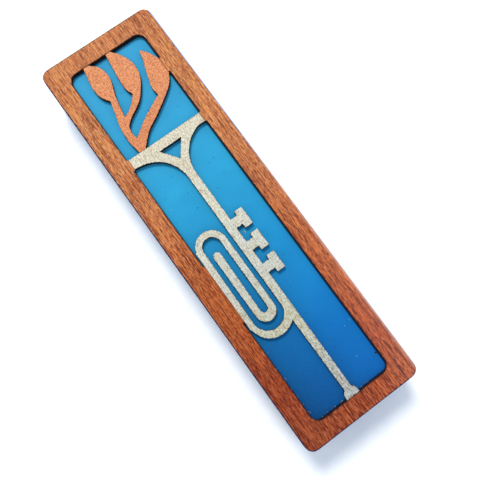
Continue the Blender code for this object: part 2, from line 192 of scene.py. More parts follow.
def triangulate(loops, low, high, insets, grid):
    """Fill a sheet with triangles, small beside its edges.

    Gives the points, the triangles and each point's distance from the nearest edge.
    """
    edge_points = np.concatenate(loops)
    tree = KDTree(len(edge_points))
    for i, (x, y) in enumerate(edge_points):
        tree.insert((x, y, 0.0), i)
    tree.balance()

    def from_edge(x, y):
        return tree.find((x, y, 0.0))[2]

    kept = []
    for p in loops:
        for step, depth in enumerate(insets):
            row = (p - normals(p) * depth)[::1 + step]
            kept += [(x, y) for x, y in row if from_edge(x, y) > 0.93 * depth]
    xs = np.arange(low.x / MM + grid / 2, high.x / MM, grid)
    ys = np.arange(low.y / MM + grid / 2, high.y / MM, grid)
    kept += [(x, y) for x in xs for y in ys if from_edge(x, y) > insets[-1] * 1.5]
    kept = np.array(kept)
    kept = kept[inside(loops, kept)]

    verts = [Vector(q) for q in np.concatenate([edge_points, kept])]
    edges = []
    start = 0
    for p in loops:
        n = len(p)
        edges += [(start + i, start + (i + 1) % n) for i in range(n)]
        start += n
    out_verts, _, out_faces, _, _, _ = delaunay_2d_cdt(verts, edges, [], 0, 1e-5)
    out = np.array([tuple(v) for v in out_verts])
    faces = np.array(out_faces)
    faces = faces[inside(loops, out[faces].mean(axis=1))]
    return out, faces, np.array([from_edge(x, y) for x, y in out])


def as_object(name, mesh_edit, materials, sharp_angle=None):
    """Turn an edit mesh into a smooth object. Edges over that angle in degrees stay sharp."""
    for face in mesh_edit.faces:
        face.smooth = True
    mesh = bpy.data.meshes.new(name)
    mesh_edit.to_mesh(mesh)
    mesh_edit.free()
    for material in materials:
        mesh.materials.append(material)
    if sharp_angle:
        mesh.set_sharp_from_angle(angle=math.radians(sharp_angle))
    piece = bpy.data.objects.new(name, mesh)
    bpy.context.scene.collection.objects.link(piece)
    return piece


def sheet(name, node, body, slot, materials, *, spacing, rag, bevel, seed,
          insets=(0.12, 0.3, 0.7), grid=1.5, top=None, bottom=None, meets=()):
    """Rebuild a CAD sheet with smooth, slightly uneven, softly broken edges.

    materials: for the faces and for the cut wall. rag: how far the edges stray. grid: how far apart
    the points in the middle are. insets: how deep the rows of points beside the edge lie. meets: the
    sides ("left", "right", "bottom", "top") that reach over the kerf to the next sheet.
    """
    low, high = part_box(node)
    z0 = low.z / MM if bottom is None else bottom
    z1 = high.z / MM if top is None else top
    loops = uneven_loops(node, spacing, rag, seed, meets)
    out, faces, distance = triangulate(loops, low, high, insets, grid)

    mesh_edit = bmesh.new()
    layer = mesh_edit.verts.layers.float.new("edge_mm")
    upper, lower = {}, {}
    for i in sorted({int(i) for f in faces for i in f}):
        x, y = out[i]
        upper[i] = mesh_edit.verts.new((x * MM, y * MM, z1 * MM))
        lower[i] = mesh_edit.verts.new((x * MM, y * MM, z0 * MM))
        upper[i][layer] = lower[i][layer] = distance[i]
    uses = {}
    for a, b, c in faces:
        for pair in ((a, b), (b, c), (c, a)):
            key = tuple(sorted(pair))
            uses[key] = uses.get(key, 0) + 1
    for a, b, c in faces:
        p, q, r = out[a], out[b], out[c]
        if (q[0] - p[0]) * (r[1] - p[1]) - (q[1] - p[1]) * (r[0] - p[0]) < 0:
            b, c = c, b
        mesh_edit.faces.new((upper[a], upper[b], upper[c]))
        mesh_edit.faces.new((lower[c], lower[b], lower[a]))
        for s, t in ((a, b), (b, c), (c, a)):
            if uses[tuple(sorted((s, t)))] == 1:
                wall = mesh_edit.faces.new((upper[t], upper[s], lower[s], lower[t]))
                wall.material_index = WALL
    mesh_edit.normal_update()
    rims = [
        e for e in mesh_edit.edges
        if sorted(f.material_index for f in e.link_faces) == [FACE, WALL]
    ]
    bmesh.ops.bevel(
        mesh_edit, geom=rims, offset=bevel * MM, segments=2, profile=0.5, affect="EDGES",
        clamp_overlap=True, material=-1,
    )
    piece = as_object(name, mesh_edit, materials, 50)
    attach(piece, body)
    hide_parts(node)
    return piece


# ---------------------------------------------------------------- procedural materials

def rgb(red, green, blue):
    """Turn a display colour (0 to 255) into a linear one."""
    def linear(value):
        value /= 255
        return value / 12.92 if value <= 0.04045 else ((value + 0.055) / 1.055) ** 2.4
    return (linear(red), linear(green), linear(blue))


class Paint:
    """A Principled material and short calls that add nodes to it."""

    def __init__(self, name, **sockets):
        self.material = bpy.data.materials.new(name)
        self.material.use_nodes = True
        self.tree = self.material.node_tree
        self.shader = self.tree.nodes["Principled BSDF"]
        self.place = self.tree.nodes.new("ShaderNodeTexCoord").outputs["Object"]
        for key, value in sockets.items():
            self.set(key.replace("_", " "), value)

    def set(self, socket, value):
        self.join(self.shader, socket, value)

    def join(self, node, socket, value):
        """Link a socket to an input, or set the input to a number or a colour."""
        if isinstance(value, bpy.types.NodeSocket):
            self.tree.links.new(value, node.inputs[socket])
        elif isinstance(value, tuple):
            node.inputs[socket].default_value = (*value, 1.0)
        else:
            node.inputs[socket].default_value = value

    def space(self, x, y, z, shift=(0.0, 0.0, 0.0)):
        """Object coordinates, with that many pattern repeats a millimetre along each axis."""
        node = self.tree.nodes.new("ShaderNodeMapping")
        self.join(node, "Vector", self.place)
        node.inputs["Scale"].default_value = (x / MM, y / MM, z / MM)
        node.inputs["Location"].default_value = shift
        return node.outputs["Vector"]

    def axis(self, letter):
        """Place along one axis in millimetres."""
        node = self.tree.nodes.new("ShaderNodeSeparateXYZ")
        self.join(node, "Vector", self.place)
        return self.math("DIVIDE", node.outputs[letter], MM)

    def off_centre(self, letter):
        """Distance from the middle of the case along one axis, in millimetres."""
        return self.math("ABSOLUTE", self.axis(letter))

    def edge(self):
        """Distance from the sheet's cut edge in millimetres."""
        node = self.tree.nodes.new("ShaderNodeAttribute")
        node.attribute_name = "edge_mm"
        return node.outputs["Fac"]

    def noise(self, vector, detail=2.0, rough=0.5, warp=0.0):
        node = self.tree.nodes.new("ShaderNodeTexNoise")
        self.join(node, "Vector", vector)
        node.inputs["Scale"].default_value = 1.0
        node.inputs["Detail"].default_value = detail
        node.inputs["Roughness"].default_value = rough
        node.inputs["Distortion"].default_value = warp
        return node.outputs["Fac"]

    def cells(self, vector):
        """Distance to the nearest of many scattered points."""
        node = self.tree.nodes.new("ShaderNodeTexVoronoi")
        self.join(node, "Vector", vector)
        node.inputs["Scale"].default_value = 1.0
        return node.outputs["Distance"]

    def level(self, value, low, high, to_low=0.0, to_high=1.0):
        """Map low..high to to_low..to_high, and hold the ends beyond it."""
        node = self.tree.nodes.new("ShaderNodeMapRange")
        for socket, number in (("Value", value), ("From Min", low), ("From Max", high),
                               ("To Min", to_low), ("To Max", to_high)):
            self.join(node, socket, number)
        return node.outputs["Result"]

    def math(self, operation, a, b=0.0):
        node = self.tree.nodes.new("ShaderNodeMath")
        node.operation = operation
        self.join(node, 0, a)
        self.join(node, 1, b)
        return node.outputs["Value"]

    def plus(self, a, b):
        return self.math("ADD", a, b)

    def minus(self, a, b):
        return self.math("SUBTRACT", a, b)

    def times(self, a, b):
        return self.math("MULTIPLY", a, b)

    def most(self, a, b):
        return self.math("MAXIMUM", a, b)

    def least(self, a, b):
        return self.math("MINIMUM", a, b)

    def ramp(self, value, stops):
        node = self.tree.nodes.new("ShaderNodeValToRGB")
        self.join(node, "Fac", value)
        elements = node.color_ramp.elements
        while len(elements) < len(stops):
            elements.new(0.5)
        for element, (place, colour) in zip(elements, stops):
            element.position = place
            element.color = colour
        return node.outputs["Color"]

    def mix(self, share, a, b, mode="MIX"):
        """Lay colour b over colour a."""
        node = self.tree.nodes.new("ShaderNodeMix")
        node.data_type = "RGBA"
        node.blend_type = mode
        self.join(node, 0, share)
        self.join(node, 6, a)
        self.join(node, 7, b)
        return node.outputs[2]

    def bump(self, height, strength, distance):
        node = self.tree.nodes.new("ShaderNodeBump")
        node.inputs["Strength"].default_value = strength
        node.inputs["Distance"].default_value = distance * MM
        self.join(node, "Height", height)
        self.set("Normal", node.outputs["Normal"])


# Colours along the case: millimetres from its middle towards the shin end, and the colour there.
# They darken towards the mouthpiece end. For the blue this is partly its own shading from light to
# deep. In every table it is partly painted shade for the lamp's light falling off along the case.
WOOD = [(-64, rgb(130, 53, 26)), (-50, rgb(127, 46, 20)), (-15, rgb(148, 67, 28)),
        (15, rgb(161, 87, 47)), (45, rgb(172, 98, 54)), (64, rgb(171, 96, 54))]
SILVER = [(-60, rgb(169, 174, 176)), (-52, rgb(173, 178, 178)), (-35, rgb(184, 184, 164)),
          (-18, rgb(180, 181, 172)), (4, rgb(187, 186, 172)), (28, rgb(179, 174, 156))]
COPPER = [(38, rgb(176, 107, 57)), (53, rgb(176, 109, 57))]
BLUE = [(-62, rgb(5, 77, 139)), (-40, rgb(8, 96, 157)),
        (-12, rgb(24, 127, 176)), (13, rgb(39, 147, 187)), (50, rgb(52, 148, 188))]
# Red, green and blue factors on the wood at the mouthpiece end and at the shin end
DEEP = ((0.39, 0.24, 0.24), (0.50, 0.38, 0.34))
GOLD = ((2.00, 2.85, 2.85), (1.42, 1.90, 1.82))
PALE = ((2.2, 4.2, 8.0), (1.45, 2.4, 3.6))


def along(y):
    """Share of the case's length, from 0 at the mouthpiece end to 1 at the shin end."""
    return (y + HALF_LENGTH) / (2 * HALF_LENGTH)


def graded(tones, at_mouthpiece, at_shin):
    """Scale tones by one factor at the mouthpiece end, passing to another at the shin end."""
    made = []
    for y, colour in tones:
        factors = [a + along(y) * (b - a) for a, b in zip(at_mouthpiece, at_shin)]
        made.append((y, tuple(c * f for c, f in zip(colour, factors))))
    return made


def by_length(p, tones, factor=(1.0, 1.0, 1.0)):
    """Colour that changes along the case."""
    stops = [(along(y), (*(c * f for c, f in zip(colour, factor)), 1.0)) for y, colour in tones]
    return p.ramp(p.level(p.axis("Y"), -HALF_LENGTH, HALF_LENGTH), stops)


def painted_side_light(p, colour, strength, until):
    """Paint light and shade across the case: painted shade towards the left side of the mouthpiece
    end and painted light on the right, fading out along the case.
    """
    share = p.level(p.axis("Y"), -HALF_LENGTH, until, strength, 0.0)
    across = p.level(p.axis("X"), -HALF_WIDTH, HALF_WIDTH, -1.0, 1.0)
    return p.mix(1.0, colour, p.plus(1.0, p.times(share, across)), "MULTIPLY")


def wood_grain(p):
    """Grain along the case, with pores and paler lines. Gives the colour, fine grain and relief."""
    deep = by_length(p, graded(WOOD, *DEEP))
    plain = by_length(p, WOOD)
    gold = by_length(p, graded(WOOD, *GOLD))
    streak = p.noise(p.space(3.1, 0.10, 0.5), 2.0, 0.6, 0.2)
    fine = p.noise(p.space(5.4, 0.55, 1.0, (3.0, 7.0, 1.0)), 2.0, 0.6, 0.1)
    cloud = p.noise(p.space(0.24, 0.08, 0.2, (11.0, 4.0, 0.0)), 3.0, 0.6, 0.8)
    weave = p.plus(p.times(streak, 0.5), p.times(fine, 0.5))
    colour = p.mix(p.level(weave, 0.40, 0.48), deep, plain)
    colour = p.mix(p.level(weave, 0.49, 0.57), colour, gold)
    colour = p.mix(p.level(cloud, 0.50, 0.74, 0.0, 0.5), colour, deep)
    pore = p.level(p.noise(p.space(5.0, 0.72, 1.0, (1.0, 2.0, 9.0)), 1.0), 0.60, 0.68)
    colour = p.mix(p.times(pore, 0.6), colour, rgb(60, 18, 16))
    pale = p.level(p.noise(p.space(4.6, 0.55, 1.0, (8.0, 5.0, 2.0)), 1.0), 0.56, 0.66)
    colour = p.mix(p.times(pale, 0.6), colour, by_length(p, graded(WOOD, *PALE)))
    relief = p.plus(p.minus(p.times(fine, 0.6), pore), p.times(streak, 0.5))
    return colour, fine, relief


def scorched_and_shaded_rims(p, colour, rough_edge, outer_side):
    """Char the frame's cut rims, least where the fretwork meets it. The dark band is partly laser
    char and partly painted shade beside the walls, and it is left off the right outer rim.
    """
    off_lands = p.most(p.level(p.off_centre("X"), 12.7, WINDOW_HALF_WIDTH, 0.3, 1.0),
                       p.level(p.off_centre("Y"), 60.0, 60.2))
    # Laser char plus painted shade along the rims, none on the right outer rim
    burnt = p.times(p.level(rough_edge, 0.12, 0.32, 1.0, 0.0), p.minus(0.9, outer_side))
    return p.mix(p.times(burnt, off_lands), colour, rgb(40, 18, 15))


def blue_overrun_lit_and_shaded(p, colour, rough_edge, outer_side):
    """Let the body's paint run onto the outer rims as a shaded and a lit copy of one blue: painted
    shade in deep blue on the left and below, painted light in pale sky blue up the right.
    """
    overrun = p.times(p.level(rough_edge, 0.18, 0.34, 1.0, 0.0), 0.85)
    left_side = p.level(p.axis("X"), -RAIL_MIDDLE, -RAIL_MIDDLE - 0.2)
    # Painted shade: the blue rim band drawn deep blue along the left and the bottom
    shaded_blue_rim = p.most(p.times(left_side, p.level(p.axis("Y"), 66.0, 60.0)),
                  p.level(p.axis("Y"), -64.0, -65.2))
    colour = p.mix(p.times(overrun, shaded_blue_rim), colour, rgb(18, 26, 62))
    # Painted light: the blue rim band drawn pale sky blue up the right
    sky = p.times(p.level(p.axis("Y"), 2.0, 24.0), p.level(p.axis("Y"), 65.2, 64.6))
    return p.mix(p.times(overrun, p.times(sky, outer_side)), colour, rgb(88, 148, 196))


def stained_wood():
    """Reddish-brown wood with a painted sheen on the lower right and a painted highlight along the
    right outer rim, with scorched and painted rims.
    """
    p = Paint("stained_wood_grain", Roughness=0.5, Specular_IOR_Level=0.1)
    colour, fine, relief = wood_grain(p)
    # Painted shade on the left and painted light on the right of the lower frame
    colour = painted_side_light(p, colour, 0.22, 0.0)
    # Painted sheen: a pale haze over the lower right stands in for the lamp's reflection there
    painted_sheen = p.times(p.level(p.axis("X"), 8.0, HALF_WIDTH), p.level(p.axis("Y"), 30.0, -45.0))
    colour = p.mix(p.times(painted_sheen, 0.045), colour, rgb(250, 225, 205))
    # Painted highlight: a pale band along the right outer rim stands in for light caught on its
    # rounded edge
    painted_edge_glare = p.times(p.level(p.axis("X"), 18.1, 19.1), p.level(p.axis("Y"), 25.0, -25.0))
    colour = p.mix(p.times(painted_edge_glare, 0.6), colour, rgb(222, 180, 160))
    wave = p.noise(p.space(1.2, 1.2, 1.2))
    rough_edge = p.plus(p.edge(), p.level(wave, 0.3, 0.7, -0.10, 0.10))
    outer_side = p.level(p.axis("X"), RAIL_MIDDLE, RAIL_MIDDLE + 0.2)
    colour = scorched_and_shaded_rims(p, colour, rough_edge, outer_side)
    colour = blue_overrun_lit_and_shaded(p, colour, rough_edge, outer_side)
    p.set("Base Color", colour)
    p.set("Roughness", p.level(fine, 0.3, 0.7, 0.46, 0.66))
    p.bump(relief, 0.5, 0.05)
    return p.material


def burnt_wall(name, dark, brown, spill=None):
    """Laser-cut side of a sheet: charred, with upright lines, paler plies and spilled paint."""
    p = Paint(name, Roughness=0.8, Specular_IOR_Level=0.2)
    line = p.noise(p.space(3.5, 3.5, 0.15), 2.0, 0.6)
    ply = p.noise(p.space(0.05, 0.05, 1.8, (4.0, 4.0, 0.3)), 1.0)
    colour = p.mix(p.level(line, 0.4, 0.7), dark, brown)
    colour = p.mix(p.times(p.level(ply, 0.5, 0.62), 0.4), colour, brown)
    if spill:
        drop = p.noise(p.space(1.5, 1.5, 0.7, (3.0, 8.0, 2.0)), 2.0, 0.6)
        near_top = p.level(p.axis("Z"), 16.2, 17.0)
        colour = p.mix(p.times(p.level(drop, 0.60, 0.72, 0.0, 0.6), near_top), colour, spill)
    p.set("Base Color", colour)
    p.set("Roughness", p.level(line, 0.3, 0.7, 0.65, 0.9))
    p.bump(line, 0.5, 0.04)
    return p.material


def fret_paint(name, tones, dark, tint, spark, dots, lengthwise, low_strokes):
    """Metallic craft paint brushed on bare sheet: fine grain, brush lines and worn, speckled edges.

    dots: their colour, how many to a millimetre and their size. lengthwise: how many brush lines to
    a millimetre along the case. low_strokes: how strong the strokes at the mouthpiece end are.
    """
    p = Paint(name, Roughness=0.5, Metallic=0.1, Specular_IOR_Level=0.3)
    colour = by_length(p, tones, (1.15, 1.15, 1.15))
    grain = p.noise(p.space(2.6, 2.2, 2.2), 2.0, 0.75)
    brush = p.noise(p.space(3.6, lengthwise, 1.0, (2.0, 1.0, 5.0)), 2.0, 0.65)
    blotch = p.noise(p.space(0.3, 0.14, 0.3, (9.0, 6.0, 3.0)), 3.0, 0.6, 0.5)
    colour = p.mix(p.level(blotch, 0.48, 0.72, 0.0, 0.75), colour, tint, "MULTIPLY")
    colour = p.mix(p.level(grain, 0.44, 0.66, 0.0, 0.75), colour, dark, "MULTIPLY")
    colour = p.mix(p.level(brush, 0.48, 0.68, 0.0, 0.75), colour, dark, "MULTIPLY")
    stroke = p.level(p.noise(p.space(3.0, 1.1, 1.0, (6.0, 2.0, 4.0)), 2.0, 0.6, 0.9), 0.50, 0.62)
    stroke = p.times(stroke, p.level(p.axis("Y"), -14.0, -42.0, 0.0, low_strokes))
    colour = p.mix(stroke, colour, dark, "MULTIPLY")
    glint = p.level(p.noise(p.space(3.4, 3.4, 3.4, (7.0, 3.0, 1.0)), 1.0), 0.60, 0.72)
    colour = p.mix(p.times(glint, 0.5), colour, spark)
    dot, per_mm, reach = dots
    speck = p.level(p.cells(p.space(per_mm, 0.75 * per_mm, 1.0)), 0.6 * reach, reach, 0.8, 0.0)
    patch = p.level(p.noise(p.space(0.8, 0.7, 0.8, (4.0, 9.0, 2.0)), 1.0), 0.33, 0.56)
    colour = p.mix(p.times(speck, patch), colour, dot)
    wave = p.noise(p.space(1.8, 1.8, 1.8, (5.0, 5.0, 0.0)), 2.0, 0.6)
    worn = p.level(p.plus(p.edge(), p.level(wave, 0.38, 0.62, -0.16, 0.12)), 0.0, 0.06, 1.0, 0.0)
    worn = p.times(worn, p.level(p.off_centre("X"), 12.0, 12.2, 0.8, 0.25))
    colour = p.mix(worn, colour, rgb(48, 40, 34))
    p.set("Base Color", colour)
    p.set("Roughness", p.level(grain, 0.35, 0.7, 0.42, 0.62))
    p.bump(p.plus(grain, p.times(brush, 0.7)), 0.5, 0.05)
    return p.material


def blue_coat(name, factor, uneven, until):
    """Start a matt blue paint, deeper at the mouthpiece end, with painted shade on the left and
    painted light on the right. Gives it, its colour and its grain.
    """
    p = Paint(name, Roughness=0.7, Specular_IOR_Level=0.10)
    # uneven: how strong the painted shade on the left and the painted light on the right are
    colour = painted_side_light(p, by_length(p, BLUE, factor), uneven, until)
    cloud = p.noise(p.space(0.12, 0.12, 0.12))
    colour = p.mix(p.level(cloud, 0.35, 0.7, 0.0, 0.12), colour, rgb(3, 66, 120))
    grain = p.noise(p.space(2.2, 1.4, 2.2), 2.0, 0.6)
    colour = p.mix(p.level(grain, 0.4, 0.75, 0.0, 0.06), colour, rgb(50, 150, 205))
    speck = p.level(p.cells(p.space(0.30, 0.27, 0.4)), 0.035, 0.06, 1.0, 0.0)
    colour = p.mix(p.times(speck, 0.6), colour, rgb(12, 30, 56))
    pale = p.level(p.cells(p.space(0.26, 0.2, 0.4, (4.0, 2.0, 1.0))), 0.028, 0.04, 1.0, 0.0)
    colour = p.mix(p.times(pale, 0.35), colour, rgb(150, 190, 210))
    return p, colour, grain


def finish_blue(p, colour, grain, rise, depth):
    """Wear the edges of a blue paint and give it its surface."""
    wave = p.noise(p.space(0.9, 0.9, 0.9))
    worn = p.level(p.plus(p.edge(), p.level(wave, 0.35, 0.65, -0.25, 0.2)), 0.0, 0.12, 1.0, 0.0)
    colour = p.mix(p.times(worn, 0.35), colour, rgb(10, 26, 48))
    p.set("Base Color", colour)
    p.set("Roughness", p.level(grain, 0.3, 0.7, 0.62, 0.78))
    p.bump(rise, 0.35, depth)
    return p.material


def panel_paint():
    """The panel's blue, with painted shade along the walls of the window."""
    p, colour, grain = blue_coat("panel_blue_paint", (1.0, 1.0, 1.0), 0.63, 5.0)
    # Painted shade: the panel's blue darkened where the window's walls stand on it
    painted_wall_shade = p.most(p.level(p.off_centre("X"), 12.5, WINDOW_HALF_WIDTH),
                     p.level(p.off_centre("Y"), 60.5, WINDOW_HALF_LENGTH))
    colour = p.mix(p.times(painted_wall_shade, 0.85), colour, rgb(8, 14, 30))
    return finish_blue(p, colour, grain, grain, 0.012)


def laser_lines(p, per_mm=2.2):
    """Fine upright lines, different in each sheet of the body, as a laser leaves on a cut edge."""
    above_seam = p.minus(p.axis("Z"), LOWEST_SPACER_SEAM)
    number = p.math("FLOOR", p.math("DIVIDE", above_seam, SPACER_STEP))
    node = p.tree.nodes.new("ShaderNodeCombineXYZ")
    p.join(node, "X", p.times(p.axis("X"), per_mm))
    p.join(node, "Y", p.times(p.axis("Y"), per_mm))
    p.join(node, "Z", p.times(number, 5.3))
    return p.noise(node.outputs["Vector"], 3.0, 0.65)


def body_paint():
    """The body's thinner blue, which shows the plies, the laser's lines and the sheets' seams."""
    p, colour, grain = blue_coat("body_blue_paint", (0.6, 0.62, 0.72), 0.36, 30.0)
    ply = p.noise(p.space(0.03, 0.03, 2.0, (4.0, 4.0, 0.3)), 1.0)
    brush = p.noise(p.space(0.22, 0.22, 4.0, (2.0, 7.0, 1.0)), 2.0, 0.6)
    line = laser_lines(p)
    colour = p.mix(p.level(ply, 0.46, 0.62, 0.0, 0.30), colour, rgb(6, 40, 80))
    colour = p.mix(p.level(brush, 0.50, 0.72, 0.0, 0.18), colour, rgb(34, 110, 165))
    colour = p.mix(p.level(line, 0.50, 0.70, 0.0, 0.26), colour, rgb(8, 30, 58))
    height = p.axis("Z")
    # Distance to the nearest seam of the spacers. They have none lower than 4 mm.
    spacer_seam = p.math("PINGPONG", p.minus(height, LOWEST_SPACER_SEAM), SPACER_STEP / 2)
    spacer_seam = p.plus(spacer_seam, p.level(height, 3.9, 4.0, 9.0, 0.0))
    cover_seam = p.math("ABSOLUTE", p.minus(height, COVER_SEAM))
    seam = p.level(p.least(spacer_seam, cover_seam), 0.08, 0.26, 0.75, 0.0)
    colour = p.mix(seam, colour, rgb(6, 16, 34))
    return finish_blue(p, colour, grain, p.plus(grain, p.plus(line, ply)), 0.04)


def bare_plywood():
    """Pale, unpainted plywood with toasted edges, for the back cover."""
    p = Paint("bare_plywood", Roughness=0.7)
    streak = p.noise(p.space(1.3, 0.07, 0.4), 3.0, 0.6, 0.3)
    fine = p.noise(p.space(5.0, 0.4, 1.0, (3.0, 7.0, 1.0)), 2.0, 0.6)
    colour = p.mix(p.level(streak, 0.35, 0.65), rgb(196, 156, 108), rgb(222, 190, 144))
    colour = p.mix(p.level(fine, 0.5, 0.75, 0.0, 0.5), colour, rgb(170, 124, 80))
    pore = p.level(p.noise(p.space(4.5, 0.6, 1.0, (1.0, 2.0, 9.0)), 1.0), 0.63, 0.7)
    colour = p.mix(p.times(pore, 0.6), colour, rgb(120, 80, 48))
    side = p.minus(COVER_HALF_WIDTH, p.off_centre("X"))
    end = p.least(p.minus(COVER_SHIN_END, p.axis("Y")), p.minus(p.axis("Y"), COVER_MOUTHPIECE_END))
    wave = p.level(p.noise(p.space(0.8, 0.8, 0.8)), 0.3, 0.7, -0.3, 0.3)
    edge = p.plus(p.least(side, end), wave)
    colour = p.mix(p.level(edge, 0.02, 0.7, 0.8, 0.0), colour, rgb(70, 42, 24))
    p.set("Base Color", colour)
    p.set("Roughness", p.level(fine, 0.3, 0.7, 0.6, 0.8))
    p.bump(p.minus(fine, pore), 0.4, 0.04)
    return p.material


def parchment_skin():
    p = Paint("parchment_skin", Roughness=0.65)
    cloud = p.noise(p.space(0.09, 0.05, 0.12), 4.0, 0.6, 0.4)
    fibre = p.noise(p.space(1.5, 1.5, 1.5), 3.0, 0.6)
    colour = p.mix(p.level(cloud, 0.3, 0.7), rgb(236, 222, 186), rgb(216, 194, 148))
    colour = p.mix(p.level(fibre, 0.5, 0.8, 0.0, 0.4), colour, rgb(190, 162, 112))
    p.set("Base Color", colour)
    p.bump(fibre, 0.3, 0.05)
    return p.material


def clear_film():
    p = Paint("clear_film_sheet", Roughness=0.12, Alpha=0.16)
    smear = p.noise(p.space(0.15, 0.05, 0.15), 3.0, 0.6)
    p.set("Base Color", p.mix(smear, rgb(226, 234, 238), rgb(250, 252, 252)))
    p.set("Roughness", p.level(smear, 0.3, 0.7, 0.08, 0.22))
    return p.material


def white_foam():
    p = Paint("white_foam_cells", Roughness=0.9)
    cell = p.cells(p.space(3.0, 3.0, 3.0))
    colour = p.mix(p.level(cell, 0.1, 0.6), rgb(204, 202, 194), rgb(240, 239, 234))
    p.set("Base Color", colour)
    p.bump(cell, 0.6, 0.08)
    return p.material


def waxed_paper():
    p = Paint("waxed_paper", Roughness=0.38)
    fibre = p.noise(p.space(0.8, 0.5, 0.8), 4.0, 0.65)
    colour = p.mix(p.level(fibre, 0.35, 0.7), rgb(236, 224, 190), rgb(248, 242, 222))
    p.set("Base Color", colour)
    p.set("Roughness", p.level(fibre, 0.3, 0.7, 0.3, 0.5))
    p.bump(fibre, 0.25, 0.03)
    return p.material


wood = stained_wood()
char = burnt_wall("charred_cut", rgb(16, 12, 13), rgb(58, 34, 24))
fret_char = burnt_wall("charred_fret_cut", rgb(12, 11, 14), rgb(40, 30, 28), rgb(178, 172, 150))
shin_char = burnt_wall("charred_shin_cut", rgb(14, 11, 14), rgb(52, 30, 26))
silver = fret_paint(
    "silver_cream_paint", SILVER, dark=rgb(196, 184, 158), tint=rgb(245, 230, 214),
    spark=rgb(228, 224, 208), dots=(rgb(116, 96, 70), 0.95, 0.22), lengthwise=0.45, low_strokes=1.0,
)
copper = fret_paint(
    "copper_paint_grain", COPPER, dark=rgb(222, 196, 186), tint=rgb(250, 242, 236),
    spark=rgb(214, 148, 106), dots=(rgb(112, 34, 22), 2.0, 0.38), lengthwise=0.22, low_strokes=0.0,
)
panel_blue = panel_paint()
body_blue = body_paint()

# ---------------------------------------------------------------- pieces

LINER_CURL = 0.07
FRET = dict(spacing=0.16, bevel=0.06, insets=(0.1, 0.25, 0.5), grid=0.8)

sheet("frame_wood", "front_frame", "case", "stained_wood", (wood, char),
      spacing=0.22, rag=0.03, bevel=0.12, seed=1.0)
sheet("trumpet_fret", "trumpet", "case", "silver_paint", (silver, fret_char),
      rag=0.08, seed=7.0, meets=("left", "right", "bottom"), **FRET)
sheet("shin_fret", "shin_letter", "case", "copper_paint", (copper, shin_char),
      rag=0.05, seed=13.0, meets=("right", "bottom", "top"), **FRET)
panel_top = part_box("background_panel")[1].z / MM + GLUE
sheet("panel_sheet", "background_panel", "case", "blue_panel", (panel_blue, body_blue),
      spacing=0.5, rag=0.05, bevel=0.14, seed=19.0, insets=(0.2, 0.6, 1.2), grid=3.0, top=panel_top)
for number, layer in enumerate(("front_spacer_layer", "middle_spacer_layer", "rear_spacer_layer",
                                "cover_channel_layer", "rear_retaining_layer")):
    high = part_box(layer)[1].z / MM
    sheet(layer + "_sheet", layer, "case", "blue_body", (body_blue, body_blue),
          spacing=0.5, rag=0.09, bevel=0.16, seed=23.0 + 5.0 * number,
          insets=(0.2, 0.6, 1.2), grid=4.0, top=high + GLUE)

foam, paper = white_foam(), waxed_paper()
rear_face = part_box("rear_retaining_layer")[0].z / MM
for side in ("left", "right"):
    liner_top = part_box(side + "_release_liner")[1].z / MM
    pad = sheet(side + "_foam_strip", side + "_foam_tape", "case", "foam", (foam, foam),
                spacing=0.4, rag=0.10, bevel=0.16, seed=51.0,
                insets=(0.2, 0.6), grid=1.2, top=rear_face, bottom=liner_top)
    strip = sheet(side + "_paper_strip", side + "_release_liner", "case", "liner", (paper, paper),
                  spacing=0.4, rag=0.08, bevel=0.03, seed=57.0, insets=(0.3, 0.8), grid=1.0)
    free_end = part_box(side + "_foam_tape")[1].y
    for vertex in strip.data.vertices:
        past = abs(vertex.co.y) - free_end
        if past > 0:
            vertex.co.z += LINER_CURL * past ** 2 / MM


def roll_parchment():
    """Make the rolled sheet: one spiral strip with slightly uneven turns and ends."""
    low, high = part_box("parchment_scroll")
    middle_z = (low.z + high.z) / 2
    outer_radius, pitch, thickness, half_length = 3.80, 0.35, 0.18, 49.6
    turns, per_turn, rows = 5.5, 72, 40
    mesh_edit = bmesh.new()
    rings = []
    for i in range(int(turns * per_turn) + 1):
        turn = i / per_turn
        angle = -2 * math.pi * turn
        ring = []
        for j in range(rows + 1):
            share = 2 * j / rows - 1
            y = share * (half_length + 0.35 * noise.noise((turn * 0.7, share * 0.6, 3.0)))
            radius = outer_radius - pitch * turn + 0.035 * noise.noise((turn * 1.3, y * 0.05, 8.0))
            for r in (radius, radius - thickness):
                x, z = r * math.cos(angle) * MM, r * math.sin(angle) * MM + middle_z
                ring.append(mesh_edit.verts.new((x, y * MM, z)))
        rings.append(ring)
    for a, b in zip(rings, rings[1:]):
        for k in range(0, 2 * rows, 2):
            mesh_edit.faces.new((a[k], b[k], b[k + 2], a[k + 2]))
            mesh_edit.faces.new((a[k + 1], a[k + 3], b[k + 3], b[k + 1]))
        mesh_edit.faces.new((a[0], a[1], b[1], b[0]))
        mesh_edit.faces.new((a[-2], b[-2], b[-1], a[-1]))
    for ring in (rings[0], rings[-1]):
        for k in range(0, 2 * rows, 2):
            mesh_edit.faces.new((ring[k], ring[k + 1], ring[k + 3], ring[k + 2]))
    bmesh.ops.recalc_face_normals(mesh_edit, faces=mesh_edit.faces)
    roll = as_object("parchment_roll", mesh_edit, (parchment_skin(),), 40)
    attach(roll, "case")
    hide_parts("parchment_scroll")


roll_parchment()

for name, material in (("back_cover", bare_plywood()), ("scroll_sleeve", clear_film())):
    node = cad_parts[name]
    node.material_slots[0].link = "OBJECT"
    node.material_slots[0].material = material
cover_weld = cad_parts["back_cover"].modifiers.new("weld", "WELD")
cover_weld.merge_threshold = 0.005 * MM
cover_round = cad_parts["back_cover"].modifiers.new("soft_edges", "BEVEL")
cover_round.width = 0.14 * MM
cover_round.segments = 2
cover_round.limit_method = "ANGLE"
cover_round.angle_limit = math.radians(35)


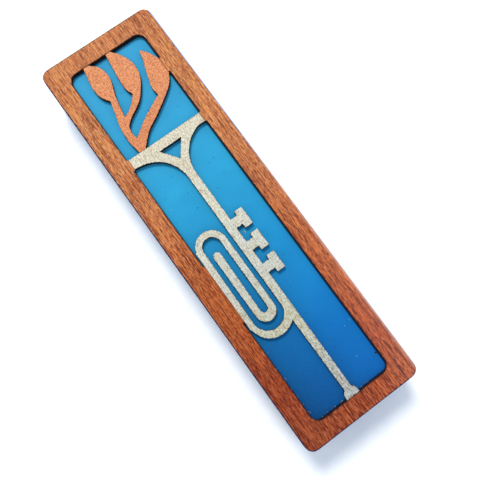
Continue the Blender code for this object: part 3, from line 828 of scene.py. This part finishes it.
def flecks(name, material, base, spots, seed):
    """Make small, low, irregular blobs on a flat face: (x, y, half width, half length, turn)."""
    sides, sunk, shoulder_height, peak = 14, 0.02, 0.035, 0.05
    mesh_edit = bmesh.new()
    for number, (x, y, wide, long, turn) in enumerate(spots):
        top = mesh_edit.verts.new((x * MM, y * MM, (base + peak) * MM))
        rim, shoulder = [], []
        for k in range(sides):
            angle = 2 * math.pi * k / sides
            u, v = math.cos(angle), math.sin(angle)
            reach = 1.0 + 0.35 * noise.noise((u * 1.4 + number * 5.0, v * 1.4, seed))
            u, v = wide * reach * u, long * reach * v
            dx = u * math.cos(turn) - v * math.sin(turn)
            dy = u * math.sin(turn) + v * math.cos(turn)
            for ring, share, z in ((rim, 1.0, -sunk), (shoulder, 0.7, shoulder_height)):
                spot = ((x + share * dx) * MM, (y + share * dy) * MM, (base + z) * MM)
                ring.append(mesh_edit.verts.new(spot))
        for k in range(sides):
            m = (k + 1) % sides
            mesh_edit.faces.new((rim[k], rim[m], shoulder[m], shoulder[k]))
            mesh_edit.faces.new((shoulder[k], shoulder[m], top))
        mesh_edit.faces.new(list(reversed(rim)))
    piece = as_object(name, mesh_edit, (material,))
    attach(piece, "case")


dice = random.Random(5)
low_wall = 0.1 - WINDOW_HALF_LENGTH
left_wall = 0.2 - WINDOW_HALF_WIDTH


def low_wall_spills(count, x_low, x_high, width_low, width_high, length):
    """Spots along the window's lower wall."""
    return [
        (dice.uniform(x_low, x_high), low_wall + dice.uniform(-0.1, 0.2),
         dice.uniform(width_low, width_high), length, 0.0)
        for _ in range(count)
    ]


cream = [(2.7, -6.3, 0.30, 0.48, 0.3), (-8.9, -48.1, 0.13, 0.13, 0.0),
         (-12.4, -46.6, 0.12, 0.3, 0.1), (12.0, -44.0, 0.1, 0.12, 0.0),
         (-12.3, -57.9, 0.16, 0.16, 0.0)]
cream += low_wall_spills(12, -10.5, -3.0, 0.10, 0.28, 0.09)
cream += low_wall_spills(9, 3.0, 10.5, 0.08, 0.2, 0.08)
cream += [(left_wall + dice.uniform(0.0, 0.15), dice.uniform(-58.0, -42.0), 0.07,
           dice.uniform(0.1, 0.22), 0.0) for _ in range(8)]
flecks("stray_cream_paint", silver, panel_top, cream, 2.0)
dark = [(-5.0, 19.3, 0.13, 0.11, 0.0), (-10.3, 14.7, 0.13, 0.12, 0.0), (6.3, 16.3, 0.16, 0.12, 0.4),
        (-4.2, 7.3, 0.09, 0.3, -0.6), (-2.0, -56.6, 0.4, 0.09, 0.0), (12.4, -55.7, 0.32, 0.42, 0.4),
        (3.6, -8.0, 0.12, 0.22, 0.5), (-4.9, -17.5, 0.34, 0.12, 0.3),
        (-11.2, -38.2, 0.12, 0.08, 0.0), (3.2, -35.4, 0.1, 0.2, 0.1), (4.8, -40.8, 0.12, 0.12, 0.0)]
flecks("stray_char_dust", shin_char, panel_top, dark, 9.0)

# ---------------------------------------------------------------- floor, light and camera

# Metres. The floor lies just under the part, so that the two never share a plane.
FLOOR_SIZE, FLOOR_Z = 8.0, -0.0001
KEY_PLACE, KEY_AIM, KEY_SIZE = (0.09, 0.50, 0.82), (0.0, 0.0, 0.015), 0.28
# Millimetres, the heights above the front
EYE = (-12.59, -24.31, 140.80)
AIM = (0.72, -11.63, 0.0)
UP = (0.5816, 0.8035, 0.1273)


def white_floor():
    p = Paint("white_floor_paper", Roughness=0.9)
    fibre = p.noise(p.space(0.2, 0.2, 0.2))
    p.set("Base Color", p.mix(p.level(fibre, 0.3, 0.7), rgb(247, 247, 248), rgb(251, 251, 252)))
    return p.material


bpy.ops.mesh.primitive_plane_add(size=FLOOR_SIZE, location=(0.0, 0.0, FLOOR_Z))
floor = bpy.context.active_object
floor.name = "floor"
floor.data.materials.append(white_floor())

world = bpy.data.worlds.new("studio")
bpy.context.scene.world = world
world.use_nodes = True
sky_light = world.node_tree.nodes["Background"]
sky_light.inputs["Color"].default_value = (0.78, 0.88, 1.02, 1.0)
sky_light.inputs["Strength"].default_value = 0.88

key = bpy.data.objects.new("key", bpy.data.lights.new("key", "AREA"))
key.data.shape = "DISK"
key.data.size = KEY_SIZE
key.data.energy = 7.0
key.data.color = (1.0, 0.97, 0.92)
key.location = KEY_PLACE
key.rotation_euler = (Vector(KEY_AIM) - Vector(KEY_PLACE)).to_track_quat("-Z", "Y").to_euler()
bpy.context.scene.collection.objects.link(key)

camera = bpy.data.objects.new("camera", bpy.data.cameras.new("camera"))
camera.data.lens = 36.0
camera.data.sensor_width = 36.0
camera.data.clip_start = 0.01
camera.data.clip_end = 20.0
bpy.context.scene.collection.objects.link(camera)
bpy.context.scene.camera = camera
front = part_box("front_frame")[1].z
eye = Vector((EYE[0] * MM, EYE[1] * MM, front + EYE[2] * MM))
aim = Vector((AIM[0] * MM, AIM[1] * MM, front + AIM[2] * MM))
back = (eye - aim).normalized()
right = Vector(UP).cross(back).normalized()
up = back.cross(right)
turn = Matrix((right, up, back)).transposed().to_4x4()
camera.matrix_world = Matrix.Translation(eye) @ turn
bpy.context.scene.view_settings.view_transform = "Standard"
